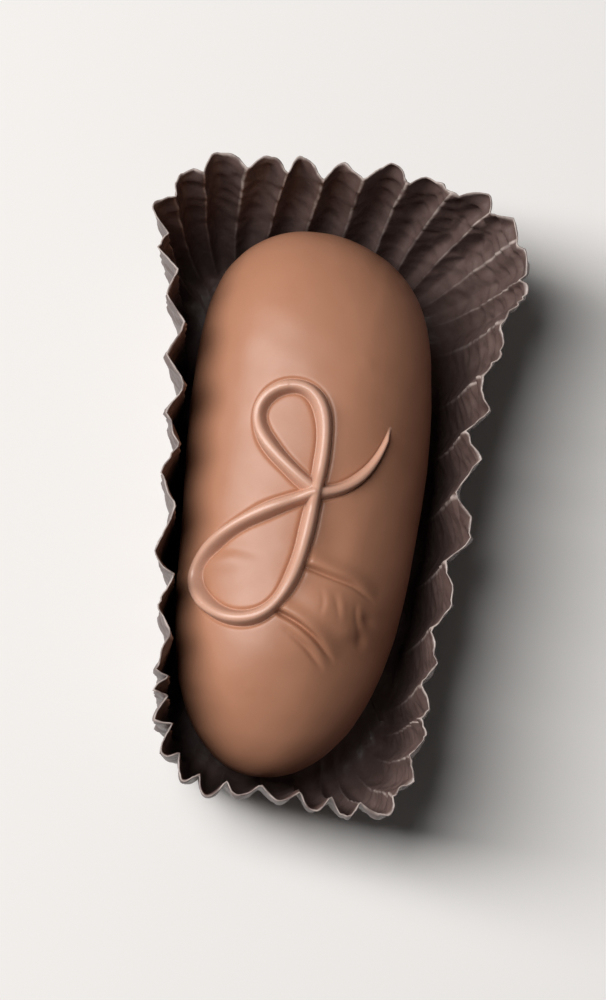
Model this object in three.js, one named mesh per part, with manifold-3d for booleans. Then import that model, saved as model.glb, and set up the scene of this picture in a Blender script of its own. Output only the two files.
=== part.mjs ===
// A marzipan finger dipped in milk chocolate, with a thread of the same chocolate piped over it in
// a figure of eight, lying in its fluted paper case. Millimetres, +Z up, +Y along the case towards the
// finger's blunter end. The origin is the middle of the case's floor, on the surface that it stands on.
import * as THREE from "three";
import { mergeVertices } from "three/addons/utils/BufferGeometryUtils.js";
import Module from "manifold-3d";

// The finger: a hand-rolled log, egg-shaped from above, flattened where it set on its underside
const FINGER_LENGTH = 50;
const FINGER_WIDTH = 21.6;
const FINGER_HEIGHT = 17.8;
const WAIST_HEIGHT = 7.6; // the widest level, above the underside
const BOW = 1.1; // how far the middle of the centre line leans out towards +X
const FINGER_TURN = 2.1; // degrees by which the finger lies turned in its case, its head to +X
const HEAD_BLUNTNESS = 4.7; // exponents of the rounding towards the ends
const FOOT_BLUNTNESS = 3.9;
const UNDERSIDE_BLUNTNESS = 7;
const TAPER_START = 0.4; // the finger narrows from here to its foot end, as a share of half its length
const TAPER = 0.09;
const TOP_FULLNESS = 2.15; // exponents of the cross-section, 2 being an ellipse
const UNDER_FULLNESS = 2.8;
const FLANK_LIMIT = 0.98; // share of the half width out to which the top of the coat is worked out
const AROUND_STEPS = 56;
const ALONG_STEPS = 42;

// Soft relief of the coat, each a rounded mound or dent: its middle, half sizes and height
const RELIEF = [
  { x: 4.6, y: -11.4, across: 4.2, along: 2.6, height: 0.75 }, // where the coat puckered into a fold
  { x: 7, y: -15.8, across: 3.6, along: 2.8, height: -0.85 }, // the dent under that fold
  { x: -4.2, y: -17.5, across: 3.8, along: 4.5, height: 0.3 }, // the fuller side of the foot
  { x: 9.2, y: -5.2, across: 3.4, along: 3.2, height: -0.45 }, // the slight waist above it
  { x: -5.5, y: 14.5, across: 6.5, along: 6, height: 0.3 },
  { x: 4.5, y: 8.5, across: 5.5, along: 7, height: 0.25 },
];

// The piped thread: a tail, and a figure of eight laid in stretches that don't cross themselves
const THREAD_DIAMETER = 1.5;
const TAIL_DIAMETER = 1.0;
const THREAD_SINK = 0.45; // how deep the thread's underside lies in the coat
const THREAD_CLIMB = 0.45; // how much higher it runs where it passes over itself
const CLIMB_REACH = 1.6; // half the length of that rise
const THREAD_SIDES = 8;
const THREAD_STEP = 0.95; // length of one step along the sweep
const TAIL_START = [7.3, 6.2];
const TAIL_SAG = [5.9, -0.3]; // the tail's curve is pulled towards this point
const CROSSING = [1.3, -0.8];
// Each loop points to an angle from +X, and leaves the crossing on its left side where turn is 1
const UPPER_LOOP = { towards: 114, length: 10, width: 5.6, turn: 1 };
const LOWER_LOOP = { towards: 235, length: 13.4, width: 7.8, turn: -1 };
const CROSSING_SHARE = 0.06; // of a loop, left out where the thread passes over the crossing
const TAIL_OVERLAP = 0.2; // share of the upper loop that the tail's stretch runs into
const HALF_LOOP = 0.5; // the stretches of the loops meet and overlap at their far ends
const PAST_HALF_LOOP = 0.55;
const SAMPLES = 9; // points on each bend of the thread

// The paper case: an oblong floor with rounded corners, and a fluted wall that flares to its rim
const FLOOR_HALF_LENGTH = 23.1;
const FLOOR_HALF_WIDTH = 10.65;
const FLOOR_CORNER = 5.5; // radius of the floor's corners
const FOOT_TAPER = 0.16; // share of its width that the case loses towards its foot
const FOOT_TAPER_BEND = 1.5; // over 1, it loses most of it near the foot
const CASE_HEIGHT = 17;
const SIDE_FLARE = 2.5; // how far the rim stands out past the floor
const SIDE_SHIFT = 0.7; // further out at its +X side and less at its -X side
const HEAD_FLARE = 6;
const FOOT_FLARE = 4.6;
const FLUTES = 39;
const FLUTE_COLUMNS = 6; // columns of points in one flute
const CORNER_SPREAD = 17; // the flutes are spread round a corner as on an arc of this radius
const END_CROWDING = 1.6; // how many times narrower the flutes of the ends are than those of the sides
const FLOOR_FLUTE = 0.3; // how far the flutes swing to each side, at the floor and at the rim
const SIDE_FLUTE = 0.8;
const END_FLUTE = 0.7;
const FOLD_ROUNDING = 0.15; // 0 creases the flutes' inner folds, and their outer ones are round
const HEAD_TWIST = 0.012; // share of the way round that the flutes lean over, up to the rim, at the head
const SIDE_BEND = 0.42; // under 1, the wall leaves the floor in a curve
const HEAD_BEND = 0.85;
const PAPER = 0.4; // stands for paper of a tenth of a millimetre
const WALL_ROWS = [0, 0.06, 0.35, 0.7, 1];
const REST_GAP = 0.3; // between the finger's underside and the paper

// The spread corners of the rim: the place and half reach as shares of the way round, the further
// flare, and the share of the flutes' depth that is pulled out of them there
const CORNERS = [
  { at: 0.12, reach: 0.06, spread: 5.6, opened: 0.6 },
  { at: 0.365, reach: 0.045, spread: 1.9, opened: 0 },
  { at: 0.85, reach: 0.045, spread: 3.3, opened: 0.3 },
];

// Unevenness of the case: [size, waves round the rim, phase] for each term
const RIM_HEIGHT_WAVES = [[0.4, 2, 1.0], [0.22, 7, 0.0], [0.12, 17, 2.2]];
const FLARE_WAVES = [[0.12, 3, 0.9], [0.08, 8, 1.7]];
const DEPTH_WAVES = [[0.1, 5, 0.7], [0.08, 11, 2.1]];
const PITCH_WAVES = [[0.0035, 4, 0.4], [0.0016, 9, 1.3]];

const MERGE_DISTANCE = 1e-4;
const FULL_TURN = 2 * Math.PI;
const degrees = (angle) => (angle * Math.PI) / 180;
const mix = (from, to, share) => from + (to - from) * share;
const signedPower = (value, power) => Math.sign(value) * Math.abs(value) ** power;

// The sum of the unevenness terms at a place round the rim, from 0 to 1
const waves = (terms, round) =>
  terms.reduce((sum, [size, count, phase]) => sum + size * Math.sin(FULL_TURN * count * round + phase), 0);

// How far the centre line leans to +X at a place along the finger, from -1 at its foot to 1
const lean = (along) => BOW * (0.5 - Math.min(1, along * along));

// Half width, rise above the waist and drop below it, at a place along the finger
function section(along) {
  const bluntness = along > 0 ? HEAD_BLUNTNESS : FOOT_BLUNTNESS;
  const rounding = Math.sqrt(1 - Math.min(1, Math.abs(along) ** bluntness));
  const taper = 1 - TAPER * Math.max(0, TAPER_START - along) ** 2;
  return {
    halfWidth: (FINGER_WIDTH / 2) * rounding * taper,
    rise: (FINGER_HEIGHT - WAIST_HEIGHT) * rounding * Math.sqrt(taper),
    drop: WAIST_HEIGHT * Math.sqrt(1 - Math.min(1, Math.abs(along) ** UNDERSIDE_BLUNTNESS)),
  };
}

// A point of the smooth finger, by its place along it and the angle round its centre line
function fingerPoint(along, angle) {
  const { halfWidth, rise, drop } = section(along);
  const cosine = Math.cos(angle);
  const sine = Math.sin(angle);
  const fullness = sine > 0 ? TOP_FULLNESS : UNDER_FULLNESS;
  return new THREE.Vector3(
    lean(along) + halfWidth * signedPower(cosine, 2 / fullness),
    (along * FINGER_LENGTH) / 2,
    WAIST_HEIGHT + (sine > 0 ? rise : drop) * signedPower(sine, 2 / fullness),
  );
}

// Height of the coat's mounds and dents over a point of the plan
const relief = (x, y) =>
  RELIEF.reduce(
    (sum, m) => sum + m.height * Math.exp(-(((x - m.x) / m.across) ** 2) - ((y - m.y) / m.along) ** 2),
    0,
  );

// Height of the top of the coat over a point of the plan
function coatHeight(x, y) {
  const along = (2 * y) / FINGER_LENGTH;
  const { halfWidth, rise } = section(along);
  const across = Math.min(FLANK_LIMIT, Math.abs(x - lean(along)) / halfWidth);
  return WAIST_HEIGHT + rise * (1 - across ** TOP_FULLNESS) ** (1 / TOP_FULLNESS) + relief(x, y);
}

// The finger without its thread: a sphere whose poles are the finger's ends, drawn out to its form
function fingerGeometry() {
  const geometry = new THREE.SphereGeometry(1, AROUND_STEPS, ALONG_STEPS);
  const position = geometry.getAttribute("position");
  for (let i = 0; i < position.count; i++) {
    const along = position.getY(i);
    const angle = Math.atan2(position.getZ(i), position.getX(i));
    const point = fingerPoint(along, angle);
    point.z += relief(point.x, point.y) * Math.max(0, Math.sin(angle)) * Math.sqrt(1 - along * along);
    position.setXYZ(i, point.x, point.y, point.z);
  }
  return geometry;
}

// A place on a piped loop, which leaves the crossing and comes back to it, as share runs 0 to 1
function loopPoint({ towards, length, width, turn }, share) {
  const axis = new THREE.Vector2(Math.cos(degrees(towards)), Math.sin(degrees(towards)));
  const side = new THREE.Vector2(-axis.y, axis.x);
  return new THREE.Vector2(...CROSSING)
    .addScaledVector(axis, length * Math.sin(Math.PI * share))
    .addScaledVector(side, turn * (width / 2) * Math.sin(FULL_TURN * share));
}

const loopStretch = (loop, from, to) =>
  Array.from({ length: SAMPLES }, (_, i) => loopPoint(loop, mix(from, to, i / (SAMPLES - 1))));

// The tail, a single curve from the thread's start into the upper loop
function tailStretch() {
  const curve = new THREE.QuadraticBezierCurve(
    new THREE.Vector2(...TAIL_START),
    new THREE.Vector2(...TAIL_SAG),
    new THREE.Vector2(...CROSSING),
  );
  return curve.getPoints(SAMPLES).slice(0, -1);
}

// One stretch of thread swept along its route in plan, on the coat, rising by climb at the crossing
function threadGeometry({ route, diameter, climb }) {
  const height = (place) => {
    const away = place.distanceTo(new THREE.Vector2(...CROSSING)) / CLIMB_REACH;
    return coatHeight(place.x, place.y) + diameter / 2 - THREAD_SINK + climb * Math.exp(-(away ** 2));
  };
  const path = new THREE.CatmullRomCurve3(route.map((p) => new THREE.Vector3(p.x, p.y, height(p))));
  const section = new THREE.Shape(
    Array.from({ length: THREAD_SIDES }, (_, i) => {
      const angle = (FULL_TURN * (i + 0.5)) / THREAD_SIDES;
      return new THREE.Vector2(Math.cos(angle), Math.sin(angle)).multiplyScalar(diameter / 2);
    }),
  );
  const steps = Math.ceil(path.getLength() / THREAD_STEP);
  return new THREE.ExtrudeGeometry(section, { steps, extrudePath: path });
}

// A place on the floor's edge, by its share of the way round the rim from the middle of the +X side,
// and the way out from it. Each quarter runs from the middle of a side to the middle of an end.
function floorEdge(round) {
  const quarter = 4 * (round - Math.floor(round));
  const side = quarter < 1 || quarter >= 3 ? 1 : -1;
  const end = quarter < 2 ? 1 : -1;
  const straight = FLOOR_HALF_LENGTH - FLOOR_CORNER;
  const across = FLOOR_HALF_WIDTH - FLOOR_CORNER;
  const arc = (CORNER_SPREAD * Math.PI) / 2;
  const run = (1 - Math.abs(1 - (quarter % 2))) * (straight + arc + across * END_CROWDING);
  const angle = THREE.MathUtils.clamp((run - straight) / CORNER_SPREAD, 0, Math.PI / 2);
  const back = Math.max(0, run - straight - arc) / END_CROWDING;
  const out = new THREE.Vector2(side * Math.cos(angle), end * Math.sin(angle));
  const centre = new THREE.Vector2(side * (across - back), end * Math.min(run, straight));
  return { point: centre.addScaledVector(out, FLOOR_CORNER), out };
}

// The sum of what the spread corners add at a place round the rim, by the name of what they add
const atCorners = (what, round) =>
  CORNERS.reduce((sum, corner) => {
    const apart = round - corner.at - Math.round(round - corner.at);
    return sum + corner[what] * Math.exp(-((apart / corner.reach) ** 2));
  }, 0);

// How far the rim stands out past the floor, by the way out and the place round the rim
function flare(out, round) {
  const side = SIDE_FLARE + SIDE_SHIFT * out.x;
  const end = out.y > 0 ? HEAD_FLARE : FOOT_FLARE;
  return mix(side, end, out.y ** 2) + atCorners("spread", round) + waves(FLARE_WAVES, round);
}

// The swing of the flutes, from 1 at an outer fold to -1 at an inner one
function fold(column) {
  const rounded = (size) => Math.hypot(size, FOLD_ROUNDING) - FOLD_ROUNDING;
  return (2 * rounded(Math.sin((Math.PI * column) / FLUTE_COLUMNS))) / rounded(1) - 1;
}

// A point of the fluted wall, with up from 0 at the floor to 1 at the rim, and the paper's offset
function wallPoint(column, up, offset) {
  const even = column / (FLUTES * FLUTE_COLUMNS);
  const round = even + waves(PITCH_WAVES, even);
  const twist = HEAD_TWIST * Math.max(0, floorEdge(round).out.y) * up;
  const { point, out } = floorEdge(round - twist);
  const depth = mix(SIDE_FLUTE, END_FLUTE, out.y ** 2) * (1 + waves(DEPTH_WAVES, even));
  const swing = fold(column) * mix(FLOOR_FLUTE, depth * (1 - atCorners("opened", round)), up);
  const bend = mix(SIDE_BEND, HEAD_BEND, Math.max(0, out.y) ** 2);
  const plan = point.clone().addScaledVector(out, flare(out, round) * up ** bend + swing + offset);
  const footward = THREE.MathUtils.clamp(-plan.y / FLOOR_HALF_LENGTH, 0, 1);
  plan.x *= 1 - FOOT_TAPER * footward ** FOOT_TAPER_BEND;
  return new THREE.Vector3(
    plan.x + lean((2 * plan.y) / FINGER_LENGTH),
    plan.y,
    up * (CASE_HEIGHT + waves(RIM_HEIGHT_WAVES, even)),
  );
}

// The case: a lathe of a floor and a double wall, whose rings are then drawn out to the fluted form
function caseGeometry() {
  const outer = WALL_ROWS.map((up) => ({ up, offset: PAPER / 2, lift: 0 }));
  const inner = WALL_ROWS.map((up) => ({ up, offset: -PAPER / 2, lift: up > 0 ? 0 : PAPER })).reverse();
  const rings = [...outer, ...inner];
  const profile = [
    new THREE.Vector2(0, 0),
    ...rings.map((ring) => new THREE.Vector2(1 + ring.up + ring.offset, ring.up + ring.lift)),
    new THREE.Vector2(0, PAPER),
  ];
  const columns = FLUTES * FLUTE_COLUMNS;
  const geometry = new THREE.LatheGeometry(profile, columns);
  const position = geometry.getAttribute("position");
  for (let column = 0; column <= columns; column++) {
    const first = column * profile.length;
    position.setXYZ(first, 0, 0, 0);
    position.setXYZ(first + profile.length - 1, 0, 0, PAPER);
    rings.forEach(({ up, offset, lift }, row) => {
      const point = wallPoint(column % columns, up, offset);
      position.setXYZ(first + 1 + row, point.x, point.y, point.z + lift);
    });
  }
  return geometry;
}

const wasm = await Module();
wasm.setup();

// A closed three.js geometry as a solid that can be joined to others
function solidOf(geometry) {
  const bare = new THREE.BufferGeometry().setAttribute("position", geometry.getAttribute("position"));
  bare.setIndex(geometry.index);
  const merged = mergeVertices(bare, MERGE_DISTANCE);
  const solid = new wasm.Manifold(
    new wasm.Mesh({
      numProp: 3,
      vertProperties: merged.getAttribute("position").array,
      triVerts: new Uint32Array(merged.index.array),
    }),
  );
  if (solid.volume() < 0) throw new Error("a geometry's faces point inwards");
  return solid;
}

function geometryOf(solid) {
  const { vertProperties, triVerts } = solid.getMesh();
  return new THREE.BufferGeometry()
    .setAttribute("position", new THREE.BufferAttribute(vertProperties, 3))
    .setIndex(new THREE.BufferAttribute(triVerts, 1));
}

// The finger with the thread fused to its coat
function coatedFinger() {
  const stretches = [
    {
      route: [...tailStretch(), ...loopStretch(UPPER_LOOP, CROSSING_SHARE, TAIL_OVERLAP)],
      diameter: TAIL_DIAMETER,
      climb: 0,
    },
    {
      route: loopStretch(UPPER_LOOP, CROSSING_SHARE, PAST_HALF_LOOP),
      diameter: THREAD_DIAMETER,
      climb: 0,
    },
    {
      route: [
        ...loopStretch(UPPER_LOOP, HALF_LOOP, 1 - CROSSING_SHARE),
        ...loopStretch(LOWER_LOOP, CROSSING_SHARE, PAST_HALF_LOOP),
      ],
      diameter: THREAD_DIAMETER,
      climb: THREAD_CLIMB,
    },
    {
      route: loopStretch(LOWER_LOOP, HALF_LOOP, 1),
      diameter: THREAD_DIAMETER,
      climb: THREAD_CLIMB,
    },
  ];
  const fused = stretches.reduce(
    (solid, stretch) => solid.add(solidOf(threadGeometry(stretch))),
    solidOf(fingerGeometry()),
  );
  return geometryOf(fused);
}

const milkChocolate = new THREE.MeshStandardMaterial({ color: 0xa5714f, roughness: 0.42, metalness: 0 });
const brownPaper = new THREE.MeshStandardMaterial({ color: 0x33262a, roughness: 0.6, metalness: 0 });

const finger = new THREE.Mesh(coatedFinger(), milkChocolate);
finger.name = "coated_marzipan";
finger.position.z = PAPER + REST_GAP;
finger.rotation.z = -degrees(FINGER_TURN);

const paperCase = new THREE.Mesh(caseGeometry(), brownPaper);
paperCase.name = "paper_case";

const group = new THREE.Group();
group.add(finger, paperCase);

export default group;
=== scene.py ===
"""A marzipan finger dipped in milk chocolate, in its oblong case of fluted paper.

The finger is one fine mesh: a hand-rolled log, the folds of its coat, and a thread of the same
chocolate piped over it in a figure of eight. The case is pleated by Geometry Nodes. Shapes are
worked out in millimetres, in the frame of the solids, and their meshes are in metres.
"""

import logging
import math
from dataclasses import dataclass, fields
from enum import Enum
from typing import Any, Sequence

import bmesh
import bpy
import numpy as np
from mathutils import Matrix, Vector


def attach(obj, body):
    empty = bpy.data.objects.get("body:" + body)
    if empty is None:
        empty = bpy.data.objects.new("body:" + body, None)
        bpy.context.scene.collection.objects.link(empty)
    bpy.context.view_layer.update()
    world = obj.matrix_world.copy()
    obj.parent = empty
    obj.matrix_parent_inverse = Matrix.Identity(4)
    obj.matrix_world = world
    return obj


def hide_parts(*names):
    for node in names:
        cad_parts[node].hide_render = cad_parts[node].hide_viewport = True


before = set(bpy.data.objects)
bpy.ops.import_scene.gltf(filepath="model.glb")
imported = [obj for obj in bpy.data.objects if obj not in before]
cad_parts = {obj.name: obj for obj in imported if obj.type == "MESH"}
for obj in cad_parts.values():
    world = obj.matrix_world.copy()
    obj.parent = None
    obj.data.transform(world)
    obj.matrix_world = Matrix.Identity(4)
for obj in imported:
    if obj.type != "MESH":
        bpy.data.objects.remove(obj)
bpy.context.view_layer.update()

BODY = "root"
MM = 0.001
PAPER = 0.4  # thickness of the paper in the solids
REST_GAP = 0.3  # between the finger's underside and the paper in the solids
FINGER_LENGTH = 50.0
BOW = 1.1  # how far the middle of the finger's centre line leans out towards +X
ROUTE_SAMPLES = 60  # on each bend of the thread's route, before it is cut into even steps
MERGE = 1e-3  # points of a mesh that lie nearer than this, in millimetres, are one

Socket = bpy.types.NodeSocket
Relief = tuple[Any, float, float]  # a pattern, how much of it shows, and its height in millimetres
Waves = tuple[tuple[float, float, float], ...]  # each a size, a count or a length, and a phase

log = logging.getLogger("marzipan")


def linear(code: str) -> tuple[float, float, float, float]:
    """Turns an sRGB hex colour to linear red, green and blue, and an alpha of one.

    Args:
        code: the colour, such as "#a5714f".

    Returns:
        The four channels.
    """
    channels = [int(code[i : i + 2], 16) / 255 for i in (1, 3, 5)]
    red, green, blue = (c / 12.92 if c <= 0.04045 else ((c + 0.055) / 1.055) ** 2.4 for c in channels)
    return red, green, blue, 1.0


def link_object(name: str, data: bpy.types.ID) -> bpy.types.Object:
    """Puts a new object into the scene.

    Args:
        name: its name.
        data: its mesh, light or camera.

    Returns:
        The object.
    """
    made = bpy.data.objects.new(name, data)
    bpy.context.scene.collection.objects.link(made)
    return made


def per_metre(grain: float) -> float:
    """Turns the size of a pattern's grain in millimetres to its scale."""
    return 1 / (grain * MM)


def add_node(
    tree: bpy.types.NodeTree, kind: str, inputs: dict[Any, Any] | None = None, **settings: Any
) -> bpy.types.Node:
    """Adds a node to a tree, with its settings and whatever feeds its inputs.

    Args:
        tree: the node tree.
        kind: the type of the node.
        inputs: for an input's name or number, its value or the field or socket that feeds it.
        settings: the node's own attributes.

    Returns:
        The new node.
    """
    node = tree.nodes.new(kind)
    for name, value in settings.items():
        setattr(node, name, value)
    for key, value in (inputs or {}).items():
        if isinstance(value, Field):
            value = value.socket
        if isinstance(value, Socket):
            tree.links.new(value, node.inputs[key])
        else:
            node.inputs[key].default_value = value
    return node


@dataclass(frozen=True)
class Field:
    """A number that varies over a surface, so that a formula made of nodes reads as arithmetic."""

    tree: bpy.types.NodeTree
    socket: Socket

    def through(self, operation: str, *others: "Field | float") -> "Field":
        """Puts this field and the others through an operation of the Math node.

        Args:
            operation: the operation's name.
            others: its further inputs, fields or numbers.

        Returns:
            The result.
        """
        inputs = dict(enumerate((self, *others)))
        node = add_node(self.tree, "ShaderNodeMath", inputs, operation=operation)
        return Field(self.tree, node.outputs[0])

    def __add__(self, other: "Field | float") -> "Field":
        """Adds the other."""
        return self.through("ADD", other)

    def __sub__(self, other: "Field | float") -> "Field":
        """Subtracts the other."""
        return self.through("SUBTRACT", other)

    def __rsub__(self, other: float) -> "Field":
        """Subtracts the field from a number."""
        return self.through("MULTIPLY_ADD", -1.0, other)

    def __mul__(self, other: "Field | float") -> "Field":
        """Multiplies by the other."""
        return self.through("MULTIPLY", other)

    def __neg__(self) -> "Field":
        """Turns the field's sign round."""
        return self.through("MULTIPLY", -1.0)

    def __truediv__(self, other: "Field | float") -> "Field":
        """Divides by the other."""
        return self.through("DIVIDE", other)

    def __pow__(self, other: "Field | float") -> "Field":
        """Raises to the power of the other."""
        return self.through("POWER", other)

    def clamped(self, low: "Field | float", high: "Field | float") -> "Field":
        """Keeps the field between two values."""
        return self.through("MAXIMUM", low).through("MINIMUM", high)

    def towards(self, other: "Field", share: "Field") -> "Field":
        """Goes from this field to the other as share goes from 0 to 1."""
        return self + (other - self) * share


@dataclass(frozen=True)
class Ripple:
    """Unevenness as a sum of slow waves in random directions, the same at each run."""

    height: float
    shortest: float  # the waves' lengths
    longest: float
    seed: int
    count: int = 14

    def at(self, places: np.ndarray) -> np.ndarray:
        """Works out the height of the ripple.

        Args:
            places: one point a row.

        Returns:
            The heights.
        """
        chance = np.random.default_rng(self.seed)
        total = np.zeros(len(places))
        for _ in range(self.count):
            direction = chance.normal(size=3)
            direction /= np.linalg.norm(direction)
            length = chance.uniform(self.shortest, self.longest)
            total += np.sin(places @ direction * (math.tau / length) + chance.uniform(0, math.tau))
        return total * self.height / math.sqrt(self.count)


@dataclass(frozen=True)
class Mound:
    """A soft mound of the coat, or a dent where its height is below zero."""

    x: float
    y: float
    across: float
    along: float
    height: float

    def at(self, x: np.ndarray, y: np.ndarray) -> np.ndarray:
        """Works out the mound's height over places of the plan."""
        return self.height * np.exp(-(((x - self.x) / self.across) ** 2) - ((y - self.y) / self.along) ** 2)


@dataclass(frozen=True)
class FingerForm:
    """The smooth log of marzipan under its coat's folds, egg-shaped from above, flat underneath."""

    width: float = 21.6
    height: float = 17.8
    waist: float = 7.6  # the widest level, above the underside
    head_bluntness: float = 4.7
    foot_bluntness: float = 3.9
    underside_bluntness: float = 7.0
    taper_start: float = 0.4
    taper: float = 0.09
    top_fullness: float = 2.15
    under_fullness: float = 2.8
    flank_limit: float = 0.98  # share of the half width past which nothing is lifted onto the coat
    settling: float = 0.42  # how far the underside sinks into the gap that the solids keep
    mounds: tuple[Mound, ...] = (
        Mound(4.6, -11.4, 4.2, 2.6, 0.75),
        Mound(7.0, -15.8, 3.6, 2.8, -0.85),
        Mound(-4.2, -17.5, 3.8, 4.5, 0.3),
        Mound(9.2, -5.2, 3.4, 3.2, -0.45),
        Mound(-5.5, 14.5, 6.5, 6.0, 0.3),
        Mound(4.5, 8.5, 5.5, 7.0, 0.25),
    )

    def section(self, along: np.ndarray) -> tuple[np.ndarray, np.ndarray, np.ndarray]:
        """Works out the cross-section at places along the finger.

        Args:
            along: the places, from -1 at the foot to 1 at the head.

        Returns:
            Half the width, the rise above the waist and the drop below it.
        """
        bluntness = np.where(along > 0, self.head_bluntness, self.foot_bluntness)
        rounding = np.sqrt(1 - np.minimum(1, np.abs(along) ** bluntness))
        taper = 1 - self.taper * np.maximum(0, self.taper_start - along) ** 2
        under = np.sqrt(1 - np.minimum(1, np.abs(along) ** self.underside_bluntness))
        rise = (self.height - self.waist) * rounding * np.sqrt(taper)
        return self.width / 2 * rounding * taper, rise, (self.waist + self.settling) * under

    def relief(self, x: np.ndarray, y: np.ndarray) -> np.ndarray:
        """Adds up the mounds over places of the plan."""
        return sum(mound.at(x, y) for mound in self.mounds)

    def surface(self, along: np.ndarray, angle: np.ndarray) -> np.ndarray:
        """Works out points of the surface.

        Args:
            along: places along the finger, from -1 at the foot to 1 at the head.
            angle: angles round the centre line, from +X, positive on the upper side.

        Returns:
            One point a row, standing on the paper.
        """
        half_width, rise, drop = self.section(along)
        cosine, sine = np.cos(angle), np.sin(angle)
        power = 2 / np.where(sine > 0, self.top_fullness, self.under_fullness)
        x = lean(along) + half_width * np.sign(cosine) * np.abs(cosine) ** power
        y = along * FINGER_LENGTH / 2
        z = self.waist + np.where(sine > 0, rise, drop) * np.sign(sine) * np.abs(sine) ** power
        z = z + self.relief(x, y) * np.maximum(0, sine) * np.sqrt(np.maximum(0, 1 - along**2))
        return np.stack([x, y, z + PAPER + REST_GAP], axis=-1)

    def on_top(self, plan: np.ndarray) -> np.ndarray:
        """Lifts places of the plan onto the top of the coat.

        Args:
            plan: one place a row.

        Returns:
            The points.
        """
        x, y = plan[:, 0], plan[:, 1]
        along = 2 * y / FINGER_LENGTH
        half_width, rise, _ = self.section(along)
        across = np.minimum(self.flank_limit, np.abs(x - lean(along)) / half_width)
        bulge = (1 - across**self.top_fullness) ** (1 / self.top_fullness)
        z = self.waist + rise * bulge + self.relief(x, y) + PAPER + REST_GAP
        return np.stack([x, y, z], axis=-1)


def lean(along: np.ndarray) -> np.ndarray:
    """Works out how far the centre line leans to +X at places from -1 at the foot to 1."""
    return BOW * (0.5 - np.minimum(1, along**2))


def softened(rough: np.ndarray, step: float, window: float) -> np.ndarray:
    """Draws a line at even steps through rough corners, with its bends rounded.

    Args:
        rough: the corners in plan, one a row.
        step: the length of a step.
        window: the length over which a bend is rounded.

    Returns:
        The points of the line, one a row.
    """
    run = np.concatenate([[0], np.cumsum(np.linalg.norm(np.diff(rough, axis=0), axis=1))])
    even = np.arange(0, run[-1], step)
    line = np.stack([np.interp(even, run, rough[:, axis]) for axis in (0, 1)], axis=-1)
    half = max(1, int(window / step / 2))
    before = 2 * line[0] - line[half:0:-1]
    after = 2 * line[-1] - line[-2 : -half - 2 : -1]
    padded = np.vstack([before, line, after])
    kernel = np.hanning(2 * half + 3)[1:-1]
    kernel /= kernel.sum()
    return np.stack([np.convolve(padded[:, axis], kernel, "valid") for axis in (0, 1)], axis=-1)


def nearest(line: np.ndarray, places: np.ndarray) -> tuple[np.ndarray, np.ndarray, np.ndarray]:
    """Finds the nearest point of a line to each place.

    Args:
        line: the line's points.
        places: one point a row.

    Returns:
        The distances, the nearest points' numbers along the line, with fractions, and the side
        that each place lies on, 1 for the left in plan and -1 for the right.
    """
    best = np.full(len(places), np.inf)
    number = np.zeros(len(places))
    side = np.ones(len(places))
    for i, (start, end) in enumerate(zip(line[:-1], line[1:])):
        step = end - start
        offset = places - start
        share = np.clip(offset @ step / (step @ step), 0, 1)
        apart = np.linalg.norm(offset - share[:, None] * step, axis=1)
        nearer = apart < best
        best[nearer] = apart[nearer]
        number[nearer] = i + share[nearer]
        turn = step[0] * offset[nearer, 1] - step[1] * offset[nearer, 0]
        side[nearer] = np.where(turn < 0, -1, 1)
    return best, number, side


@dataclass(frozen=True)
class Strand:
    """A stretch of thread that lies on the coat."""

    points: np.ndarray
    half_width: np.ndarray
    height: np.ndarray
    roundness: float = 2.8  # 2 gives a parabola and more gives steeper sides

    def rise(self, places: np.ndarray) -> tuple[np.ndarray, np.ndarray, np.ndarray]:
        """Works out how the thread lies at each place.

        Args:
            places: one point a row.

        Returns:
            The thread's height over the coat, below zero past its edges, the distance from its middle
            in half widths, and its full height there.
        """
        apart, number, _ = nearest(self.points, places)
        steps = np.arange(len(self.points))
        across = apart / np.interp(number, steps, self.half_width)
        height = np.interp(number, steps, self.height)
        return height * (1 - np.minimum(3, across**self.roundness)), across, height


class Turn(Enum):
    """The side on which a loop of thread leaves the crossing."""

    LEFT = 1
    RIGHT = -1


@dataclass(frozen=True)
class Loop:
    """A drop-shaped loop of thread that leaves the crossing and comes back to it."""

    towards: float  # degrees from +X
    length: float
    width: float
    turn: Turn

    def plan(self, start: float, end: float, crossing: Sequence[float]) -> np.ndarray:
        """Works out places on the loop.

        Args:
            start: the share of the way round it where they start.
            end: the share where they end.
            crossing: the place that the loop leaves and comes back to.

        Returns:
            The places in plan, one a row.
        """
        share = np.linspace(start, end, ROUTE_SAMPLES)[:, None]
        axis = np.array([math.cos(math.radians(self.towards)), math.sin(math.radians(self.towards))])
        side = self.turn.value * np.array([-axis[1], axis[0]])
        out = self.length * np.sin(math.pi * share) * axis
        return np.array(crossing) + out + self.width / 2 * np.sin(math.tau * share) * side


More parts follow.
